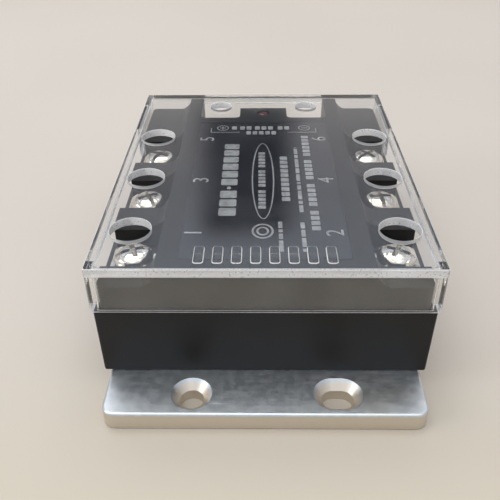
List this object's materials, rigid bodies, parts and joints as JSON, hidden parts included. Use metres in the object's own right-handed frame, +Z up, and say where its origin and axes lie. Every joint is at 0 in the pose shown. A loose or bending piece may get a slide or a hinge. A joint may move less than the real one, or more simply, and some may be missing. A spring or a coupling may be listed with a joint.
{
  "type": "solid state relay",
  "caption": "Flat three-phase solid state relay: plated base plate with mounting holes, black moulded case, screw terminals along both sides and clear lift-off cover.",
  "frame": {"origin": "centre of the base plate's underside", "axes": "+X to the right and +Y away when the input terminals are at the far end; +Z up, from the base plate to the cover"},
  "size_m": [0.0784, 0.126, 0.0355],
  "materials": {
    "plated_steel": "bright plated sheet steel with soft mottling and a burnished edge",
    "case_screw_steel": "plated countersunk screw",
    "moulded_case": "black moulded thermoplastic with a fine satin texture",
    "clear_cover": "clear moulded polycarbonate, glossy",
    "label_film": "glossy black film with pale silver print",
    "red_lens": "dark red translucent lens",
    "terminal_plating": "nickel plated brass strip",
    "screw_plating": "bright nickel plating with a warm tint",
    "epoxy": "cured black filling compound",
    "ceramic": "white alumina with a fired surface",
    "silicon": "passivated silicon chip",
    "circuit_board": "green lacquered glass-epoxy board",
    "chip_package": "pale moulded package"
  },
  "bodies": {
    "case": {"base_plate": "plated_steel", "housing": "moulded_case", "nameplate": "label_film", "lamp_window": "red_lens", "case_screw_front_left": "case_screw_steel", "case_screw_front_right": "case_screw_steel", "case_screw_rear_left": "case_screw_steel", "case_screw_rear_right": "case_screw_steel", "driver_board": "circuit_board", "potting_compound": "epoxy", "indicator_lamp": "red_lens", "optocoupler_front": "chip_package", "ceramic_substrate_front": "ceramic", "thyristor_left_front": "silicon", "thyristor_right_front": "silicon", "optocoupler_middle": "chip_package", "ceramic_substrate_middle": "ceramic", "thyristor_left_middle": "silicon", "thyristor_right_middle": "silicon", "optocoupler_rear": "chip_package", "ceramic_substrate_rear": "ceramic", "thyristor_left_rear": "silicon", "thyristor_right_rear": "silicon", "terminal_left_front": "terminal_plating", "nut_left_front": "terminal_plating", "terminal_left_middle": "terminal_plating", "nut_left_middle": "terminal_plating", "terminal_left_rear": "terminal_plating", "nut_left_rear": "terminal_plating", "terminal_right_front": "terminal_plating", "nut_right_front": "terminal_plating", "terminal_right_middle": "terminal_plating", "nut_right_middle": "terminal_plating", "terminal_right_rear": "terminal_plating", "nut_right_rear": "terminal_plating", "terminal_input_left": "terminal_plating", "nut_input_left": "terminal_plating", "terminal_input_right": "terminal_plating", "nut_input_right": "terminal_plating"},
    "cover": {"cover": "clear_cover"},
    "left_front_clamp": {"clamp_left_front": "screw_plating"},
    "left_front_screw": {"screw_left_front": "screw_plating"},
    "left_middle_clamp": {"clamp_left_middle": "screw_plating"},
    "left_middle_screw": {"screw_left_middle": "screw_plating"},
    "left_rear_clamp": {"clamp_left_rear": "screw_plating"},
    "left_rear_screw": {"screw_left_rear": "screw_plating"},
    "right_front_clamp": {"clamp_right_front": "screw_plating"},
    "right_front_screw": {"screw_right_front": "screw_plating"},
    "right_middle_clamp": {"clamp_right_middle": "screw_plating"},
    "right_middle_screw": {"screw_right_middle": "screw_plating"},
    "right_rear_clamp": {"clamp_right_rear": "screw_plating"},
    "right_rear_screw": {"screw_right_rear": "screw_plating"},
    "input_left_clamp": {"clamp_input_left": "screw_plating"},
    "input_left_screw": {"screw_input_left": "screw_plating"},
    "input_right_clamp": {"clamp_input_right": "screw_plating"},
    "input_right_screw": {"screw_input_right": "screw_plating"}
  },
  "joints": [
    {"name": "cover_lift", "type": "slide", "parent": "case", "child": "cover", "axis": [0, 0, 1], "range_m": [0, 0.03]},
    {"name": "left_front_clamp_lift", "type": "slide", "parent": "case", "child": "left_front_clamp", "axis": [0, 0, 1], "range_m": [0, 0.0032]},
    {"name": "left_front_screw_turn", "type": "hinge", "parent": "left_front_clamp", "child": "left_front_screw", "pos_m": [-0.0314, -0.0339, 0.0252], "axis": [0, 0, 1], "range_deg": [0, 1440]},
    {"name": "left_middle_clamp_lift", "type": "slide", "parent": "case", "child": "left_middle_clamp", "axis": [0, 0, 1], "range_m": [0, 0.0032]},
    {"name": "left_middle_screw_turn", "type": "hinge", "parent": "left_middle_clamp", "child": "left_middle_screw", "pos_m": [-0.0314, -0.0087, 0.0252], "axis": [0, 0, 1], "range_deg": [0, 1440]},
    {"name": "left_rear_clamp_lift", "type": "slide", "parent": "case", "child": "left_rear_clamp", "axis": [0, 0, 1], "range_m": [0, 0.0032]},
    {"name": "left_rear_screw_turn", "type": "hinge", "parent": "left_rear_clamp", "child": "left_rear_screw", "pos_m": [-0.0314, 0.0165, 0.0252], "axis": [0, 0, 1], "range_deg": [0, 1440]},
    {"name": "right_front_clamp_lift", "type": "slide", "parent": "case", "child": "right_front_clamp", "axis": [0, 0, 1], "range_m": [0, 0.0032]},
    {"name": "right_front_screw_turn", "type": "hinge", "parent": "right_front_clamp", "child": "right_front_screw", "pos_m": [0.0314, -0.0339, 0.0252], "axis": [0, 0, 1], "range_deg": [0, 1440]},
    {"name": "right_middle_clamp_lift", "type": "slide", "parent": "case", "child": "right_middle_clamp", "axis": [0, 0, 1], "range_m": [0, 0.0032]},
    {"name": "right_middle_screw_turn", "type": "hinge", "parent": "right_middle_clamp", "child": "right_middle_screw", "pos_m": [0.0314, -0.0087, 0.0252], "axis": [0, 0, 1], "range_deg": [0, 1440]},
    {"name": "right_rear_clamp_lift", "type": "slide", "parent": "case", "child": "right_rear_clamp", "axis": [0, 0, 1], "range_m": [0, 0.0032]},
    {"name": "right_rear_screw_turn", "type": "hinge", "parent": "right_rear_clamp", "child": "right_rear_screw", "pos_m": [0.0314, 0.0165, 0.0252], "axis": [0, 0, 1], "range_deg": [0, 1440]},
    {"name": "input_left_clamp_lift", "type": "slide", "parent": "case", "child": "input_left_clamp", "axis": [0, 0, 1], "range_m": [0, 0.0024]},
    {"name": "input_left_screw_turn", "type": "hinge", "parent": "input_left_clamp", "child": "input_left_screw", "pos_m": [-0.0138, 0.0399, 0.0246], "axis": [0, 0, 1], "range_deg": [0, 1440]},
    {"name": "input_right_clamp_lift", "type": "slide", "parent": "case", "child": "input_right_clamp", "axis": [0, 0, 1], "range_m": [0, 0.0024]},
    {"name": "input_right_screw_turn", "type": "hinge", "parent": "input_right_clamp", "child": "input_right_screw", "pos_m": [0.0138, 0.0399, 0.0246], "axis": [0, 0, 1], "range_deg": [0, 1440]}
  ],
  "couplings": [
    {"joint": "left_front_screw_turn", "follows": "left_front_clamp_lift", "rad_per_m": 7853.9},
    {"joint": "left_middle_screw_turn", "follows": "left_middle_clamp_lift", "rad_per_m": 7853.9},
    {"joint": "left_rear_screw_turn", "follows": "left_rear_clamp_lift", "rad_per_m": 7853.9},
    {"joint": "right_front_screw_turn", "follows": "right_front_clamp_lift", "rad_per_m": 7853.9},
    {"joint": "right_middle_screw_turn", "follows": "right_middle_clamp_lift", "rad_per_m": 7853.9},
    {"joint": "right_rear_screw_turn", "follows": "right_rear_clamp_lift", "rad_per_m": 7853.9},
    {"joint": "input_left_screw_turn", "follows": "input_left_clamp_lift", "rad_per_m": 10472},
    {"joint": "input_right_screw_turn", "follows": "input_right_clamp_lift", "rad_per_m": 10472}
  ]
}
